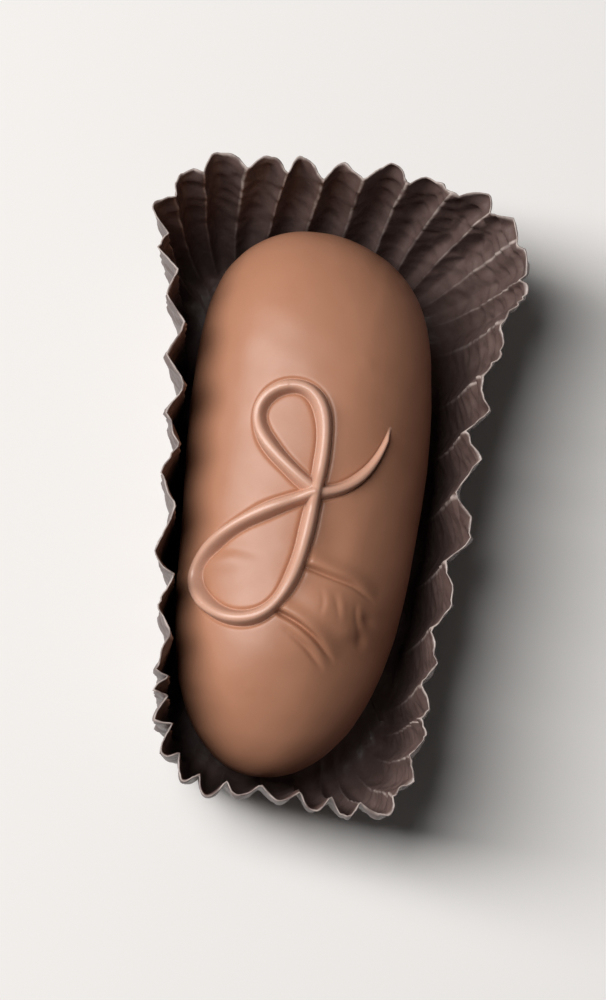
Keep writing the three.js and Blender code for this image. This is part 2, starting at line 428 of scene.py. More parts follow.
@dataclass(frozen=True)
class PipedThread:
    """The thread of chocolate that was piped in a figure of eight, from a thin tail."""

    tail_start: tuple[float, float] = (7.3, 6.2)
    tail_sag: tuple[float, float] = (5.9, -0.3)
    crossing: tuple[float, float] = (1.3, -0.8)
    upper: Loop = Loop(114, 10.0, 5.6, Turn.LEFT)
    lower: Loop = Loop(235, 13.4, 7.8, Turn.LEFT)
    leaving: float = 0.05  # share of a loop that the bend at the crossing cuts off
    half_width: float = 0.68
    tail_half_width: float = 0.14
    tail_length: float = 9.0  # over which the thread comes to its full width
    tip_length: float = 1.2  # over which its tail comes to its full height
    height: float = 0.98
    tip_height: float = 0.02  # share of its height that it has at its very tip
    flattening: float = 0.8  # exponent with which its height follows its width
    beads: Waves = ((0.06, 1.9, 0.0), (0.04, 0.83, 1.0))  # lengths of a radian, in millimetres
    climb: float = 0.55  # how much higher it runs where it passes over itself
    climb_reach: float = 1.1
    step: float = 0.22
    stiffness: float = 1.2  # length over which the thread rounds its bends
    fillet: float = 0.04  # how softly it runs into the coat
    crease: float = 0.18  # depth of the crease where it meets the coat, as a share of its height
    crease_reach: float = 0.28  # in half widths
    overlap: int = 3  # steps that two stretches share

    def route(self) -> tuple[np.ndarray, list[int]]:
        """Works out the thread's line in plan.

        Returns:
            The places, a step apart, and the numbers of those at the loops' far ends.
        """
        share = np.linspace(0, 1, ROUTE_SAMPLES)[:-1, None]
        start, sag, end = (np.array(p) for p in (self.tail_start, self.tail_sag, self.crossing))
        tail = (1 - share) ** 2 * start + 2 * share * (1 - share) * sag + share**2 * end
        loops = [
            self.upper.plan(self.leaving, 1 - self.leaving, self.crossing),
            self.lower.plan(self.leaving, 1, self.crossing),
        ]
        line = softened(np.vstack([tail, *loops]), self.step, self.stiffness)
        far_ends = [loop[len(loop) // 2] for loop in loops]
        return line, [int(np.argmin(np.linalg.norm(line - end, axis=1))) for end in far_ends]

    def strands(self, form: FingerForm) -> list[Strand]:
        """Lays the thread on the coat, in stretches that don't cross themselves.

        Args:
            form: the finger that it lies on.

        Returns:
            The stretches, in the order in which they were piped.
        """
        plan, (upper_end, lower_end) = self.route()
        points = form.on_top(plan)
        run = np.arange(len(plan)) * self.step
        fullness = np.clip(run / self.tail_length, 0, 1)
        beads = 1 + sum(size * np.sin(run / length + phase) for size, length, phase in self.beads)
        width = (self.tail_half_width + (self.half_width - self.tail_half_width) * fullness) * beads
        fine_tip = np.clip(run / self.tip_length, self.tip_height, 1)
        height = self.height * (width / self.half_width) ** self.flattening * fine_tip
        near = np.linalg.norm(plan - np.array(self.crossing), axis=1) / self.climb_reach
        over = np.arange(len(plan)) > upper_end
        height = height + over * self.climb * np.exp(-(near**2))
        stretches = [
            slice(0, upper_end + self.overlap),
            slice(upper_end, lower_end + self.overlap),
            slice(lower_end, len(plan)),
        ]
        return [Strand(points[s], width[s], height[s]) for s in stretches]

    def rise(self, strands: list[Strand], places: np.ndarray) -> tuple[np.ndarray, np.ndarray]:
        """Works out how the thread lies over all of the coat.

        Args:
            strands: its stretches.
            places: one point a row.

        Returns:
            How far it stands out of the coat, with a crease at its edges, and from 0 on the bare coat
            to 1 on the thread.
        """
        rises, across, heights = (np.array(part) for part in zip(*(s.rise(places) for s in strands)))
        joined = self.fillet * np.logaddexp.reduce([np.zeros(len(places)), *(rises / self.fillet)])
        first = across.argmin(axis=0)
        columns = np.arange(len(places))
        past = across[first, columns] - 1
        crease = self.crease * heights[first, columns] * np.exp(-((past / self.crease_reach) ** 2))
        return joined - crease, np.clip(0.5 - past / self.crease_reach, 0, 1)


@dataclass(frozen=True)
class Crease:
    """A fold of the coat: a soft roll that falls into a narrow groove, fading at its ends."""

    line: tuple[tuple[float, float], ...]
    depth: float
    groove: float  # half the groove's width
    roll: float  # the roll's height
    roll_reach: float  # half its width
    roll_shift: float  # from the groove to the roll, to the left of the way along the line
    start: float = 0.0  # how far the relief is faded in where the line starts, from 0 to 1
    lead: float = 0.7  # length over which it fades out before that
    fading: float = 1.2  # exponent of the fade towards its ends
    step: float = 0.3
    stiffness: float = 1.8  # length over which the fold rounds its bends

    def laid(self, form: FingerForm) -> np.ndarray:
        """Lays the groove's line on the coat."""
        return form.on_top(softened(np.array(self.line), self.step, self.stiffness))

    def rise(self, form: FingerForm, places: np.ndarray) -> np.ndarray:
        """Works out how far the fold stands out of the coat.

        Args:
            form: the finger that it lies on.
            places: one point a row.

        Returns:
            The heights, below zero in the groove.
        """
        line = self.laid(form)
        apart, number, side = nearest(line, places)
        share = self.start + (1 - self.start) * number / (len(line) - 1)
        way = (line[1] - line[0]) / np.linalg.norm(line[1] - line[0])
        behind = np.maximum(0, (line[0] - places) @ way)
        fade = np.sin(np.pi * np.clip(share, 0, 1)) ** self.fading * np.exp(-((behind / self.lead) ** 2))
        across = np.sqrt(np.maximum(0, apart**2 - behind**2)) * side
        roll = self.roll * np.exp(-(((across - self.roll_shift) / self.roll_reach) ** 2))
        return fade * (roll - self.depth * np.exp(-((across / self.groove) ** 2)))


class Surface:
    """A material in the making: its tree and the piece's coordinates."""

    def __init__(self, name: str) -> None:
        """Starts the material.

        Args:
            name: the finish's common name.
        """
        self.material = bpy.data.materials.new(name)
        self.material.use_nodes = True
        self.tree = self.material.node_tree
        self.tree.nodes.clear()
        self.place = add_node(self.tree, "ShaderNodeTexCoord").outputs["Object"]

    def finish(self, inputs: dict[str, Any], *reliefs: Relief) -> bpy.types.Material:
        """Lays fine reliefs over one another and ends the material with its shader.

        Args:
            inputs: the shader's inputs, values or what feeds them.
            reliefs: the reliefs, from the slowest to the finest.

        Returns:
            The material.
        """
        normal: dict[str, Socket] = {}
        for pattern, strength, height in reliefs:
            relief = {"Height": pattern, "Strength": strength, "Distance": height * MM}
            bump = add_node(self.tree, "ShaderNodeBump", relief | normal)
            normal = {"Normal": bump.outputs["Normal"]}
        shader = add_node(self.tree, "ShaderNodeBsdfPrincipled", inputs | normal)
        add_node(self.tree, "ShaderNodeOutputMaterial", {"Surface": shader.outputs["BSDF"]})
        return self.material


@dataclass(frozen=True)
class MilkChocolate:
    """Tempered milk chocolate, set after dipping: satin, smooth, slightly cloudy in colour.

    Cocoa butter gives the eye a broad soft highlight, and light that enters it comes out warmer. The
    thread was piped later, from chocolate that set faster, and is glossier; its paler colour is a
    painted highlight, for the light that its round top catches.
    """

    name: str = "milk_chocolate"
    brown: str = "#a87459"
    pale: str = "#b07d62"
    # painted highlight: the thread's paler colour stands in for the light that catches its round top
    piped: str = "#c39680"
    roughness: tuple[float, float] = (0.38, 0.48)  # of its smoothest and its roughest patches
    piped_roughness: float = 0.34
    cloud: float = 7.0  # grains in millimetres, from the slowest to the finest
    skin: float = 1.6
    grain: float = 0.28
    skin_relief: tuple[float, float] = (0.25, 0.04)  # strengths, and heights in millimetres
    grain_relief: tuple[float, float] = (0.3, 0.01)
    refraction: float = 1.46
    scattered: float = 0.1  # share of the light that enters it
    scatter_depth: float = 0.8  # in millimetres, for red
    scatter: tuple[float, float, float] = (1.0, 0.5, 0.3)  # shares of it in red, green and blue

    def make(self) -> bpy.types.Material:
        """Builds the material.

        Returns:
            The material.
        """
        surface = Surface(self.name)
        tree = surface.tree
        clouds, skin, grain = (
            add_node(
                tree,
                "ShaderNodeTexNoise",
                {"Vector": surface.place, "Scale": per_metre(size), "Detail": detail},
            ).outputs["Fac"]
            for size, detail in ((self.cloud, 2.0), (self.skin, 2.0), (self.grain, 3.0))
        )
        piped = add_node(tree, "ShaderNodeAttribute", attribute_name="piped").outputs["Fac"]
        # the clouds vary the brown at random; the paler colour on the thread is a painted highlight
        colour = linear(self.brown)
        for share, paler in ((clouds, self.pale), (piped, self.piped)):
            shades = {"Factor": share, "A": colour, "B": linear(paler)}
            colour = add_node(tree, "ShaderNodeMix", shades, data_type="RGBA").outputs["Result"]
        smooth, rough = self.roughness
        satin = add_node(tree, "ShaderNodeMapRange", {"Value": skin, "To Min": smooth, "To Max": rough})
        glosses = {"Factor": piped, "A": satin.outputs["Result"], "B": self.piped_roughness}
        gloss = add_node(tree, "ShaderNodeMix", glosses, data_type="FLOAT")
        inputs = {
            "Base Color": colour,
            "Roughness": gloss.outputs["Result"],
            "IOR": self.refraction,
            "Subsurface Weight": self.scattered,
            "Subsurface Radius": self.scatter,
            "Subsurface Scale": self.scatter_depth * MM,
        }
        return surface.finish(inputs, (skin, *self.skin_relief), (grain, *self.grain_relief))


@dataclass(frozen=True)
class GreaseproofPaper:
    """Dark brown greaseproof paper, calendered and pleated: waxy, its folds painted paler.

    The calender gives it a low sheen that lights up whole facets. Its folds and cut edge are painted
    paler, partly for wear and partly as a painted highlight for the light that they catch.
    """

    name: str = "brown_greaseproof_paper"
    brown: str = "#5b4945"
    # the paler colour of the rim and of the inward folds: partly wear, partly painted highlight
    worn: str = "#b8a9a2"
    roughness: float = 0.4
    refraction: float = 1.5
    fibre: float = 0.35  # grains in millimetres, of the fibres and of the crinkles
    crinkle: float = 1.1
    fibre_relief: tuple[float, float] = (0.5, 0.03)  # strengths, and heights in millimetres
    crinkle_relief: tuple[float, float] = (0.6, 0.14)
    rim_height: float = 0.025  # share of the wall's height that the paler rim takes
    # share of the paler colour on the rim, partly wear and partly painted highlight
    rim_wear_and_highlight: float = 0.8
    crest: float = 0.85  # inward swing of the pleats from which their folds are painted paler, as wear and as a painted highlight
    crest_reach: float = 0.12  # further swing over which they come to their palest
    bare: float = 0.25  # level of the pattern of crinkles from which the paler wear and painted highlight show
    contrast: float = 2.8
    mottle: float = 0.18  # how much of the paler colour lies all over, at random
    mottle_from: float = 0.35

    def make(self) -> bpy.types.Material:
        """Builds the material, which reads the case's own attributes for its wear and its painted
        highlights.

        Returns:
            The material.
        """
        surface = Surface(self.name)
        tree = surface.tree
        up, fold = (
            Field(tree, add_node(tree, "ShaderNodeAttribute", attribute_name=name).outputs["Fac"])
            for name in ("up", "fold")
        )
        patches, fibres = (
            Field(
                tree,
                add_node(
                    tree,
                    "ShaderNodeTexNoise",
                    {"Vector": surface.place, "Scale": per_metre(size), "Detail": 3.0},
                ).outputs["Fac"],
            )
            for size in (self.crinkle, self.fibre)
        )
        # Painted highlight and wear: the rim and the inward folds are painted paler, for the light they
        # catch and for the rubbing they get.
        rim = ((up - (1 - self.rim_height)) / self.rim_height).clamped(0.0, 1.0)
        normal = add_node(tree, "ShaderNodeNewGeometry").outputs["Normal"]
        facing = add_node(
            tree, "ShaderNodeVectorMath", {0: normal, 1: surface.place}, operation="DOT_PRODUCT"
        )
        inside = Field(tree, facing.outputs["Value"]).through("LESS_THAN", 0.0)
        crest = ((-fold - self.crest) / self.crest_reach).clamped(0.0, 1.0) * up * inside
        wear_and_highlight = (rim * self.rim_wear_and_highlight + crest) * ((patches - self.bare) * self.contrast).clamped(0.0, 1.0)
        mottle = (patches - self.mottle_from).clamped(0.0, 1.0) * self.mottle
        worn = (wear_and_highlight + mottle).clamped(0.0, 1.0)
        shades = {"Factor": worn, "A": linear(self.brown), "B": linear(self.worn)}
        colour = add_node(tree, "ShaderNodeMix", shades, data_type="RGBA")
        inputs = {
            "Base Color": colour.outputs["Result"],
            "Roughness": self.roughness,
            "IOR": self.refraction,
        }
        return surface.finish(inputs, (patches, *self.crinkle_relief), (fibres, *self.fibre_relief))


@dataclass(frozen=True)
class MattCard:
    """White card with a matt coating, for the floor: pale, with hardly a sheen."""

    name: str = "matt_white_card"
    white: str = "#e4e1de"
    roughness: float = 0.85
    fibre: float = 0.6  # grain in millimetres
    fibre_relief: tuple[float, float] = (0.1, 0.02)  # strength, and height in millimetres

    def make(self) -> bpy.types.Material:
        """Builds the material.

        Returns:
            The material.
        """
        surface = Surface(self.name)
        fibres = add_node(
            surface.tree,
            "ShaderNodeTexNoise",
            {"Vector": surface.place, "Scale": per_metre(self.fibre)},
        )
        inputs = {"Base Color": linear(self.white), "Roughness": self.roughness}
        return surface.finish(inputs, (fibres.outputs["Fac"], *self.fibre_relief))


def place_piece(piece: bpy.types.Object, material: bpy.types.Material, node: str) -> None:
    """Dresses a piece, puts it on its body and lets it stand for its solid.

    Args:
        piece: the piece, with its place in its mesh.
        material: its finish.
        node: the solid that it stands for.
    """
    piece.data.materials.clear()
    piece.data.materials.append(material)
    piece.data.polygons.foreach_set("use_smooth", [True] * len(piece.data.polygons))
    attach(piece, BODY)
    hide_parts(node)


@dataclass
class CoatedFinger:
    """The marzipan finger with its chocolate coat and the thread piped on it."""

    form: FingerForm = FingerForm()
    turn: float = 2.1  # degrees by which it lies turned in its case, its head to +X
    thread: PipedThread = PipedThread()
    creases: tuple[Crease, ...] = (
        Crease(((1.7, -7.55), (3.6, -8.0), (5.7, -8.4), (8.2, -9.6)), 0.5, 0.26, 0.45, 0.9, 0.7, 0.4),
        Crease(((-0.4, -11.85), (1.1, -12.5), (2.9, -13.6), (4.9, -15.4)), 0.75, 0.24, 0.3, 0.7, 0.6, 0.4),
        Crease(((0.5, -13.4), (2.2, -14.5), (4.1, -16.3)), 0.25, 0.3, 0.12, 0.5, 0.55, 0.15),
        Crease(((-9.9, -7.9), (-8.0, -6.6), (-5.2, -6.3), (-2.2, -6.9)), 0.12, 0.6, 0.2, 1.1, -1.1, 0.2),
        Crease(((2.7, -9.0), (3.2, -10.4), (2.9, -11.9)), 0.04, 0.25, 0.04, 0.4, 0.45),
        Crease(((4.0, -9.2), (4.4, -10.3), (4.9, -12.2)), 0.06, 0.3, 0.05, 0.45, 0.5),
        Crease(((6.1, -9.6), (6.3, -11.2), (7.2, -13.0)), 0.08, 0.35, 0.06, 0.5, 0.55),
    )
    blemishes: tuple[Mound, ...] = (
        Mound(4.7, 11.5, 0.3, 0.3, 0.14),
        Mound(-3.2, 17.4, 0.28, 0.28, 0.06),
        Mound(6.4, -2.2, 0.25, 0.25, 0.05),
        Mound(-2.4, -18.6, 0.3, 0.3, 0.06),
        Mound(2.1, 16.2, 0.3, 0.3, -0.05),
        Mound(7.5, -11.1, 0.7, 0.5, -0.15),
        Mound(7.0, -12.9, 0.5, 0.7, -0.16),
        Mound(5.6, -12.7, 0.9, 0.7, 0.12),
        Mound(3.4, -4.6, 1.5, 2.6, -0.22),
    )
    slow: Ripple = Ripple(0.1, 9.0, 20.0, seed=7)
    quick: Ripple = Ripple(0.016, 2.5, 5.0, seed=11)
    around: int = 132
    rows: int = 168
    bands: tuple[float, ...] = (2.4, 1.6, 1.05)  # how near the thread the squares are halved again
    fold_levels: int = 2  # how many times they are halved near a fold
    thinning: int = 2  # of how many points of a line one is enough to tell what is near it
    flank: float = 3.0  # height over the waist in which the blemishes fade in

    def places(self, sheet: np.ndarray) -> np.ndarray:
        """Maps places of a flat unit sheet to the smooth finger.

        Args:
            sheet: one place a row, round the finger from its underside and from foot to head.

        Returns:
            The points of the surface.
        """
        return self.form.surface(-np.cos(math.pi * sheet[:, 1]), math.tau * sheet[:, 0] - math.pi / 2)

    def unrolled(self, thread: np.ndarray, folds: np.ndarray) -> bmesh.types.BMesh:
        """Makes the finger's mesh, still flat, with finer squares near the thread and the folds.

        Args:
            thread: points along the thread.
            folds: points along the folds.

        Returns:
            A sheet whose places are still shares of the way round and along.
        """
        sheet = bmesh.new()
        bmesh.ops.create_grid(
            sheet,
            x_segments=self.around,
            y_segments=self.rows,
            size=0.5,
            matrix=Matrix.Translation((0.5, 0.5, 0)),
        )
        for level, reach in enumerate(self.bands):
            targets = np.vstack([thread, folds]) if level < self.fold_levels else thread
            sheet.verts.index_update()
            points = self.places(np.array([v.co[:2] for v in sheet.verts]))
            apart = np.min([np.linalg.norm(points - target, axis=1) for target in targets], axis=0)
            close = apart < reach
            edges = [e for e in sheet.edges if close[e.verts[0].index] and close[e.verts[1].index]]
            bmesh.ops.subdivide_edges(sheet, edges=edges, cuts=1, use_grid_fill=True)
        return sheet

    def build(self) -> bpy.types.Object:
        """Builds the finger's mesh with all its relief.

        Returns:
            The piece.
        """
        strands = self.thread.strands(self.form)
        thread = np.vstack([strand.points[:: self.thinning] for strand in strands])
        folds = np.vstack([crease.laid(self.form) for crease in self.creases])
        sheet = self.unrolled(thread, folds[:: self.thinning])
        points = self.places(np.array([v.co[:2] for v in sheet.verts]))
        for vertex, point in zip(sheet.verts, points):
            vertex.co = point
        bmesh.ops.remove_doubles(sheet, verts=sheet.verts, dist=MERGE)
        bmesh.ops.triangulate(sheet, faces=[f for f in sheet.faces if len(f.verts) > 4])
        bmesh.ops.recalc_face_normals(sheet, faces=sheet.faces)
        sheet.normal_update()
        points = np.array([v.co for v in sheet.verts])
        normals = np.array([v.normal for v in sheet.verts])
        raised, piped = self.thread.rise(strands, points)
        rise = self.relief(points, 1 - piped) + raised
        for vertex, point in zip(sheet.verts, (points + normals * rise[:, None]) * MM):
            vertex.co = point
        mesh = bpy.data.meshes.new("coated_finger")
        sheet.to_mesh(mesh)
        sheet.free()
        mesh.transform(Matrix.Rotation(-math.radians(self.turn), 4, "Z"))
        mesh.attributes.new("piped", "FLOAT", "POINT").data.foreach_set("value", piped)
        return link_object("coated_finger", mesh)

    def relief(self, points: np.ndarray, bare: np.ndarray) -> np.ndarray:
        """Works out how far the coat itself stands out of the smooth finger.

        Args:
            points: one point a row.
            bare: from 0 under the thread to 1 where the coat is bare.

        Returns:
            The heights.
        """
        upper = np.clip((points[:, 2] - self.form.waist) / self.flank, 0, 1)
        marks = sum(mound.at(points[:, 0], points[:, 1]) for mound in self.blemishes)
        folds = sum(crease.rise(self.form, points) for crease in self.creases)
        return self.slow.at(points) + self.quick.at(points) + marks * upper + folds * bare

    def dress(self, piece: bpy.types.Object) -> None:
        """Gives the piece its finish and its place in the frame."""
        place_piece(piece, MilkChocolate().make(), "coated_marzipan")


@dataclass(frozen=True)
class Corner:
    """A place where the case's rim spreads further out and its flutes are pulled open."""

    at: float  # share of the way round, from the middle of the +X side
    reach: float
    spread: float
    opened: float  # share of the flutes' depth


@dataclass(frozen=True)
class Edge:
    """Places on the floor's edge, each by the middle of its arc and the way out from it."""

    x: Field
    y: Field
    out_x: Field
    out_y: Field


@dataclass(frozen=True)
class Sheet:
    """The flat paper before it is pleated: fields over its points."""

    even: Field  # the share of the way round, from the middle of the +X side
    up: Field  # from 0 at the floor to 1 at the rim
    inward: Field  # from 0 in the middle of the floor to 1 at its edge
    size: dict[str, Field]  # the node tree's inputs by their names


@dataclass
class PaperCase:
    """The oblong paper case, a flat floor and a pleated wall that flares towards its rim."""

    floor_half_length: float = 23.1
    floor_half_width: float = 10.65
    floor_corner: float = 5.5
    foot_taper: float = 0.16
    foot_taper_bend: float = 1.5
    case_height: float = 17.0
    side_flare: float = 2.5
    side_shift: float = 0.7
    head_flare: float = 6.0
    foot_flare: float = 4.6
    flutes: int = 39
    corner_spread: float = 17.0  # radius at which the flutes' pitch is measured round a corner
    end_crowding: float = 1.6  # how much closer they stand on the straight of an end
    floor_flute: float = 0.3
    side_flute: float = 0.8
    end_flute: float = 0.7
    fold_rounding: float = 0.15
    side_sharpness: float = 0.75  # how far the side flutes turn from scallops to zigzags
    head_twist: float = 0.012  # share of the way round by which the head's flutes lean at the rim
    side_bend: float = 0.42  # exponent with which the wall flares towards its rim
    head_bend: float = 0.85
    corners: tuple[Corner, ...] = (
        Corner(0.12, 0.06, 5.6, 0.6),
        Corner(0.365, 0.045, 1.9, 0.0),
        Corner(0.85, 0.045, 3.3, 0.3),
    )
    rim_height_waves: Waves = ((0.4, 2, 1.0), (0.22, 7, 0.0), (0.12, 17, 2.2))  # counts round the rim
    flare_waves: Waves = ((0.12, 3, 0.9), (0.08, 8, 1.7))
    depth_waves: Waves = ((0.1, 5, 0.7), (0.08, 11, 2.1))
    pitch_waves: Waves = ((0.0035, 4, 0.4), (0.0016, 9, 1.3))
    seed: float = 5.0
    stray_out: float = 0.35  # how far the crest of a single flute strays outwards, upwards and sideways
    stray_up: float = 0.3
    stray_round: float = 0.005  # as a share of the way round
    crumple: float = 0.3  # how far the paper strays slowly from its even pleats
    crumple_grain: float = 5.0
    crumple_seed: float = 3.7
    crinkle: float = 1.15  # how far its sharp small facets stand out
    crinkle_grain: float = 2.4
    crinkle_middle: float = 0.2  # height of a facet, from 0 at its edges, that stays in place
    corner_crinkle: float = 2.2  # how much stronger they are where the flutes are pulled open
    thickness: float = 0.12
    columns: int = 16  # in one flute
    wall_rows: int = 54
    floor_rows: int = 6

    def sizes(self) -> dict[str, float]:
        """Names the sizes that the node tree takes as its inputs.

        Returns:
            All sizes that aren't whole numbers, by their names there.
        """
        named = {field.name.replace("_", " "): getattr(self, field.name) for field in fields(self)}
        return {name.capitalize(): size for name, size in named.items() if isinstance(size, float)}

    def pleats(self, finish: bpy.types.Material) -> bpy.types.NodeTree:
        """Builds the node tree that pleats the case.

        Args:
            finish: the paper's material.

        Returns:
            The tree, whose inputs carry the case's sizes.
        """
        tree = bpy.data.node_groups.new("pleated_case", "GeometryNodeTree")
        tree.interface.new_socket("Geometry", in_out="OUTPUT", socket_type="NodeSocketGeometry")
        for name in self.sizes():
            tree.interface.new_socket(name, in_out="INPUT", socket_type="NodeSocketFloat")
        given = add_node(tree, "NodeGroupInput")
        size = {name: Field(tree, given.outputs[name]) for name in self.sizes()}
        rows = self.wall_rows + self.floor_rows
        counts = {"Vertices X": self.flutes * self.columns + 1, "Vertices Y": rows + 1}
        grid = add_node(tree, "GeometryNodeMeshGrid", {"Size X": 1.0, "Size Y": 1.0, **counts})
        place = add_node(tree, "GeometryNodeInputPosition")
        parts = add_node(tree, "ShaderNodeSeparateXYZ", {"Vector": place.outputs["Position"]})
        even = Field(tree, parts.outputs["X"]) + 0.5
        row = (Field(tree, parts.outputs["Y"]) + 0.5) * rows
        up = ((row - self.floor_rows) / self.wall_rows).clamped(0.0, 1.0)
        sheet = Sheet(even, up, (row / self.floor_rows).clamped(0.0, 1.0), size)
        out, rise, sideways = self.strays(sheet)
        round_ = even + self.sum_of(self.pitch_waves, even) + sideways * size["Stray round"]
        twist = size["Head twist"] * self.edge(round_, size).out_y.clamped(0.0, 1.0) * up
        edge = self.edge(round_ - twist, size)
        fold = self.fold(sheet, edge)
        geometry = grid.outputs["Mesh"]
        for name, value in {"up": up, "fold": fold}.items():
            stored = add_node(
                tree,
                "GeometryNodeStoreNamedAttribute",
                {"Geometry": geometry, "Name": name, "Value": value},
                data_type="FLOAT",
                domain="POINT",
            )
            geometry = stored.outputs["Geometry"]
        opened = self.at_corners([corner.opened for corner in self.corners], round_)
        reach = self.reach(sheet, round_, edge, fold * (1.0 - opened * up))
        spot = self.spot(sheet, edge, reach + out * size["Stray out"], rise)
        geometry = self.crumpled(sheet, geometry, spot, edge, opened)
        for kind, inputs in (
            ("MergeByDistance", {"Distance": MERGE * MM}),
            ("RealizeInstances", {}),
            ("SetMaterial", {"Material": finish}),
        ):
            node = add_node(tree, f"GeometryNode{kind}", {"Geometry": geometry, **inputs})
            geometry = node.outputs["Geometry"]
        add_node(tree, "NodeGroupOutput", {"Geometry": geometry})
        return tree

    def sum_of(self, waves: Waves, even: Field) -> Field:
        """Adds up waves round the rim.

        Args:
            waves: their sizes, counts and phases.
            even: the share of the way round.

        Returns:
            The sum.
        """
        total = even * 0.0
        for size, count, phase in waves:
            total = total + (even * (math.tau * count) + phase).through("SINE") * size
        return total

    def at_corners(self, amounts: Sequence[float], round_: Field) -> Field:
        """Adds up what each spread corner adds, fading away from its middle.

        Args:
            amounts: what each corner adds at its middle.
            round_: the share of the way round.

        Returns:
            The sum.
        """
        total = round_ * 0.0
        for corner, amount in zip(self.corners, amounts):
            past = round_ - corner.at
            apart = (past - past.through("ROUND")) / corner.reach
            total = total + (-(apart**2.0)).through("EXPONENT") * amount
        return total

    def strays(self, sheet: Sheet) -> tuple[Field, Field, Field]:
        """Draws how far each flute strays from the even pleats, outwards, upwards and sideways.

        Args:
            sheet: the flat paper.

        Returns:
            Three fields from -1 to 1, zero at the floor and at the inner folds.
        """
        number = (sheet.even * float(self.flutes)).through("FLOOR") + sheet.size["Seed"]
        tree = number.tree
        drawn = add_node(tree, "ShaderNodeTexWhiteNoise", {"W": number}, noise_dimensions="1D")
        parts = add_node(tree, "ShaderNodeSeparateXYZ", {"Vector": drawn.outputs["Color"]})
        crest = (sheet.even * (math.pi * self.flutes)).through("SINE").through("ABSOLUTE") * sheet.up
        out, rise, sideways = (
            (Field(tree, parts.outputs[axis]) * 2.0 - 1.0) * crest for axis in ("X", "Y", "Z")
        )
        return out, rise, sideways

    def fold(self, sheet: Sheet, edge: Edge) -> Field:
        """Works out the swing of the pleats, scalloped at the ends and nearer a zigzag at the sides.

        Args:
            sheet: the flat paper.
            edge: the places on the floor's edge.

        Returns:
            The swing, from -1 at a sharp inner fold to 1 at an outer one.
        """
        rounding = sheet.size["Fold rounding"]
        wave = (sheet.even * (math.pi * self.flutes)).through("SINE")
        tall = (wave**2.0 + rounding**2.0) ** 0.5 - rounding
        scallop = tall / ((rounding**2.0 + 1.0) ** 0.5 - rounding)
        zigzag = wave.through("ABSOLUTE").through("ARCSINE") / (math.pi / 2)
        side = (1.0 - edge.out_y**2.0) * sheet.size["Side sharpness"]
        return scallop.towards(zigzag, side) * 2.0 - 1.0

    def edge(self, round_: Field, size: dict[str, Field]) -> Edge:
        """Walks the floor's edge, in quarters from the middle of a side to the middle of an end.

        Args:
            round_: the share of the way round, from the middle of the +X side.
            size: the tree's inputs.

        Returns:
            The places.
        """
        quarter = round_.through("FRACT") * 4.0
        side = ((quarter - 2.0).through("ABSOLUTE") - 1.0).through("SIGN")
        end = (2.0 - quarter).through("SIGN")
        straight = size["Floor half length"] - size["Floor corner"]
        across = size["Floor half width"] - size["Floor corner"]
        arc = size["Corner spread"] * (math.pi / 2)
        run = quarter.through("PINGPONG", 1.0) * (straight + arc + across * size["End crowding"])
        angle = ((run - straight) / size["Corner spread"]).clamped(0.0, math.pi / 2)
        back = (run - straight - arc).through("MAXIMUM", 0.0) / size["End crowding"]
        return Edge(
            x=side * (across - back),
            y=end * run.through("MINIMUM", straight),
            out_x=side * angle.through("COSINE"),
            out_y=end * angle.through("SINE"),
        )

    def reach(self, sheet: Sheet, round_: Field, edge: Edge, fold: Field) -> Field:
        """Works out how far the paper stands out from the middle of its arc.

        Args:
            sheet: the flat paper.
            round_: the share of the way round, with the flutes' uneven pitch.
            edge: the places on the floor's edge.
            fold: the pleats' swing.

        Returns:
            The distance, in millimetres.
        """
        size, up = sheet.size, sheet.up
        side = size["Side flare"] + size["Side shift"] * edge.out_x
        end = size["Foot flare"].towards(size["Head flare"], edge.out_y.through("GREATER_THAN", 0.0))
        spread = self.at_corners([corner.spread for corner in self.corners], round_)
        flare = side.towards(end, edge.out_y**2.0) + spread + self.sum_of(self.flare_waves, round_)
        head = edge.out_y.clamped(0.0, 1.0) ** 2.0
        bend = size["Side bend"].towards(size["Head bend"], head)
        deep = self.sum_of(self.depth_waves, sheet.even) + 1.0
        rim_flute = size["Side flute"].towards(size["End flute"], edge.out_y**2.0) * deep
        return size["Floor corner"] + flare * up**bend + fold * size["Floor flute"].towards(rim_flute, up)

    def spot(self, sheet: Sheet, edge: Edge, reach: Field, rise: Field) -> Socket:
        """Works out where each point of the paper lies, in millimetres.

        Args:
            sheet: the flat paper.
            edge: the places on the floor's edge.
            reach: how far the paper stands out from the middle of its arc.
            rise: how far the flutes' crests stray upwards, from -1 to 1.

        Returns:
            The socket of the place.
        """
        size = sheet.size
        y = edge.y + edge.out_y * reach
        footward = (-y / size["Floor half length"]).clamped(0.0, 1.0) ** size["Foot taper bend"]
        x = (edge.x + edge.out_x * reach) * (1.0 - footward * size["Foot taper"]) * sheet.inward
        y = y * sheet.inward
        bow = ((y / (FINGER_LENGTH / 2)) ** 2.0).clamped(0.0, 1.0) * -BOW + BOW / 2
        tall = size["Case height"] + self.sum_of(self.rim_height_waves, sheet.even)
        z = sheet.up * tall + rise * size["Stray up"] + size["Thickness"] / 2.0
        return add_node(y.tree, "ShaderNodeCombineXYZ", {"X": x + bow, "Y": y, "Z": z}).outputs["Vector"]

